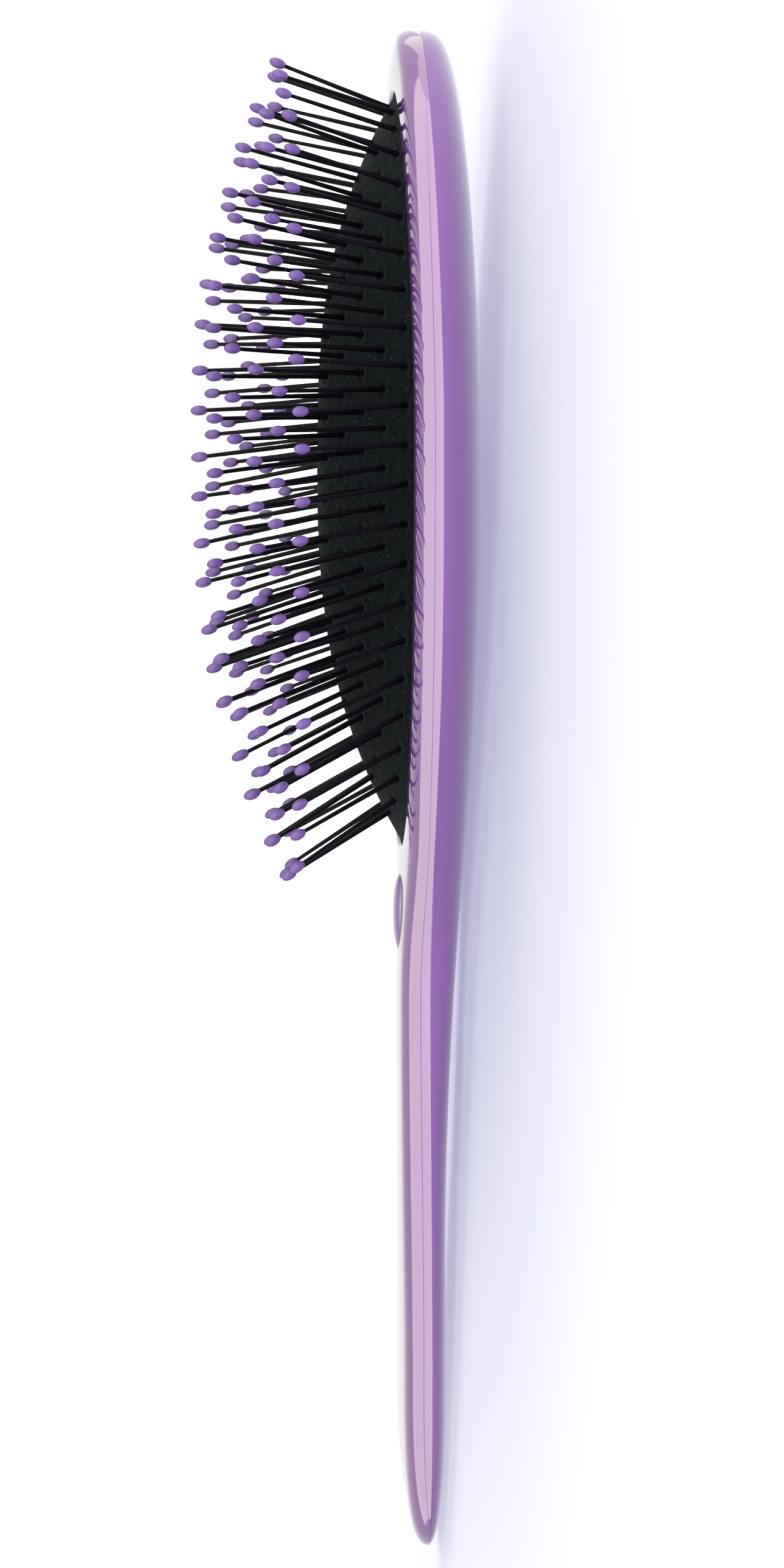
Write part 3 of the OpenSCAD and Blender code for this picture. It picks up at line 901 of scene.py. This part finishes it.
def set_world():
    """Even pale sky, white where it is seen."""
    world = bpy.data.worlds.new("studio")
    bpy.context.scene.world = world
    world.use_nodes = True
    tree = world.node_tree
    plain = tree.nodes["Background"]
    plain.inputs["Color"].default_value = SKY
    plain.inputs["Strength"].default_value = SKY_LEVEL
    seen = tree.nodes.new("ShaderNodeBackground")
    seen.inputs["Color"].default_value = SEEN_SKY
    seen.inputs["Strength"].default_value = 1.0
    pick = tree.nodes.new("ShaderNodeMixShader")
    link(tree, seen_rays(tree), pick.inputs[0])
    link(tree, plain.outputs[0], pick.inputs[1])
    link(tree, seen.outputs[0], pick.inputs[2])
    link(tree, pick.outputs[0], tree.nodes["World Output"].inputs["Surface"])


def lamp(name, place, target, size, power, tint=(1, 1, 1)):
    """Soft rectangular lamp that faces a target."""
    data = bpy.data.lights.new(name, "AREA")
    data.shape = "RECTANGLE"
    data.size, data.size_y = size
    data.energy = power
    data.color = tint
    piece = bpy.data.objects.new(name, data)
    piece.location = place
    piece.rotation_euler = (Vector(target) - Vector(place)).to_track_quat("-Z", "Y").to_euler()
    piece.visible_camera = False
    bpy.context.scene.collection.objects.link(piece)
    return piece


def soft_lamp(name, elevation, height, power):
    """Wide soft lamp on the camera's side, at an elevation in degrees, that the gloss doesn't show."""
    distance, width, middle = 0.9, 1.1, 0.02
    angle = np.radians(elevation)
    place = (middle, -distance * np.cos(angle), distance * np.sin(angle))
    piece = lamp(name, place, (middle, 0, 0), (width, height), power)
    piece.visible_glossy = False
    return piece


def link_group(name, piece, state):
    """Light group with one piece in it, which a lamp lights alone or leaves out."""
    group = bpy.data.collections.new(name)
    group.objects.link(piece)
    group.collection_objects[0].light_linking.link_state = state
    return group


def bent_card(name, low, high, level):
    """Studio card bent along the brush between two elevations in degrees."""
    reach, radius, rows = 3.3, 1.0, 9
    angles = np.radians(np.linspace(low, high, rows))
    points = [(x, -radius * np.cos(a), radius * np.sin(a)) for a in angles for x in (-reach, reach)]
    faces = [(2 * k, 2 * k + 1, 2 * k + 3, 2 * k + 2) for k in range(rows - 1)]
    return card(name, points, faces, level)


def end_card(name, level):
    """Upright studio card beyond the head's end."""
    x, reach, height = 3.6, 3.4, 5.0
    corners = [(x, -reach, 0), (x, reach, 0), (x, reach, height), (x, -reach, height)]
    return card(name, corners, [(0, 1, 2, 3)], level)


def card(name, points, faces, level):
    """Warm white card that shows only in the gloss."""
    mesh = bpy.data.meshes.new(name)
    mesh.from_pydata(points, [], faces)
    piece = bpy.data.objects.new(name, mesh)
    bpy.context.scene.collection.objects.link(piece)
    material = bpy.data.materials.new(name)
    material.use_nodes = True
    tree = material.node_tree
    tree.nodes.remove(tree.nodes["Principled BSDF"])
    glow = tree.nodes.new("ShaderNodeEmission")
    glow.inputs["Color"].default_value = CARD_TINT
    glow.inputs["Strength"].default_value = level
    link(tree, glow.outputs[0], tree.nodes["Material Output"].inputs["Surface"])
    mesh.materials.append(material)
    piece.visible_camera = False
    piece.visible_diffuse = False
    piece.visible_shadow = False
    piece.visible_transmission = False
    return piece


def set_camera():
    """Camera level with the brush's side, a little towards the pins, turned so that the head is up."""
    distance, turn_up = 0.525, np.radians(3.6)
    aim_x, aim_z = 0.00066, 0.0051
    frame_height = 0.2336
    data = bpy.data.cameras.new("camera")
    data.sensor_fit = "VERTICAL"
    data.sensor_height = 36.0
    data.lens = data.sensor_height * distance / frame_height
    camera = bpy.data.objects.new("camera", data)
    s, c = np.sin(turn_up), np.cos(turn_up)
    right, up, back = Vector((0, -s, -c)), Vector((1, 0, 0)), Vector((0, -c, s))
    place = Vector((aim_x, 0, aim_z)) + distance * back
    local = Matrix((right, up, back)).transposed().to_4x4()
    local.translation = place
    camera.matrix_world = AT_REST @ local
    bpy.context.scene.collection.objects.link(camera)
    bpy.context.scene.camera = camera


def set_lights(floor):
    """Soft lamps, cards for the gloss, lamps for all but the floor, and a low light for the floor alone."""
    soft_lamp("side_lamp", elevation=7, height=0.2, power=4.4)
    soft_lamp("front_lamp", elevation=45, height=0.6, power=0.9)
    soft_lamp("top_lamp", elevation=95, height=0.6, power=1.5)
    table_light = soft_lamp("table_light", elevation=-38, height=0.6, power=4.2)
    bent_card("low_card", low=-4, high=30, level=3.3)
    bent_card("high_card", low=33, high=90, level=3.3)
    bent_card("far_card", low=94, high=150, level=1.0)
    end_card("end_card", level=2.2)
    end_lamp = lamp("end_lamp", place=(0.8, -0.25, -0.06), target=(0.1, 0, 0), size=(0.5, 0.3),
                    power=1.2, tint=(1, 0.88, 0.86))
    end_lamp.visible_glossy = False
    backlight = lamp("low_backlight", place=(0.3, 1.1, 0.32), target=(0, 0, 0), size=(1.8, 0.6),
                     power=57.0, tint=(1, 0.95, 0.86))
    backlight.light_linking.receiver_collection = link_group("floor_only", floor, "INCLUDE")
    all_but_floor = link_group("all_but_floor", floor, "EXCLUDE")
    for fill in (table_light, end_lamp):
        fill.light_linking.receiver_collection = all_but_floor
        fill.light_linking.blocker_collection = all_but_floor


def dress(piece, material, nodes, body):
    """Gives a rigid piece its finish, the nodes it stands for and the body it rides on."""
    piece.data.materials.clear()
    piece.data.materials.append(material)
    if nodes:
        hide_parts(*nodes)
    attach(piece, body)


def build():
    """Makes every piece of the brush, gives it its finish and hides the nodes it stands for; all but the
    rubber pad ride on a body.
    """
    purple, rubber, nylon, satin = shell_finish(), rubber_finish(), nylon_finish(), tip_finish()
    dress(front_shell_piece(), purple, ["front_shell"], "handle")
    dress(back_shell_piece(), purple, ["back_shell"], "handle")
    dress(boss_piece(), purple, [], "handle")

    pad = cushion_piece()
    pad.data.materials.append(rubber)
    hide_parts("cushion")
    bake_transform(pad)

    tree = stand_tree()
    shapes = {"pins": (pin_shape(), nylon), "tips": (tip_shape(), satin)}
    for number, (name, row, side) in enumerate(ROW_SIDES):
        for kind, (shape, material) in shapes.items():
            piece = stand_row(f"{kind}_row_{name}", row, side, shape, tree, material, number)
            dress(piece, material, [f"{kind}_{name}"], f"row_{name}")


build()
floor = floor_piece()
set_world()
set_camera()
set_lights(floor)
bpy.context.scene.view_settings.view_transform = "Standard"
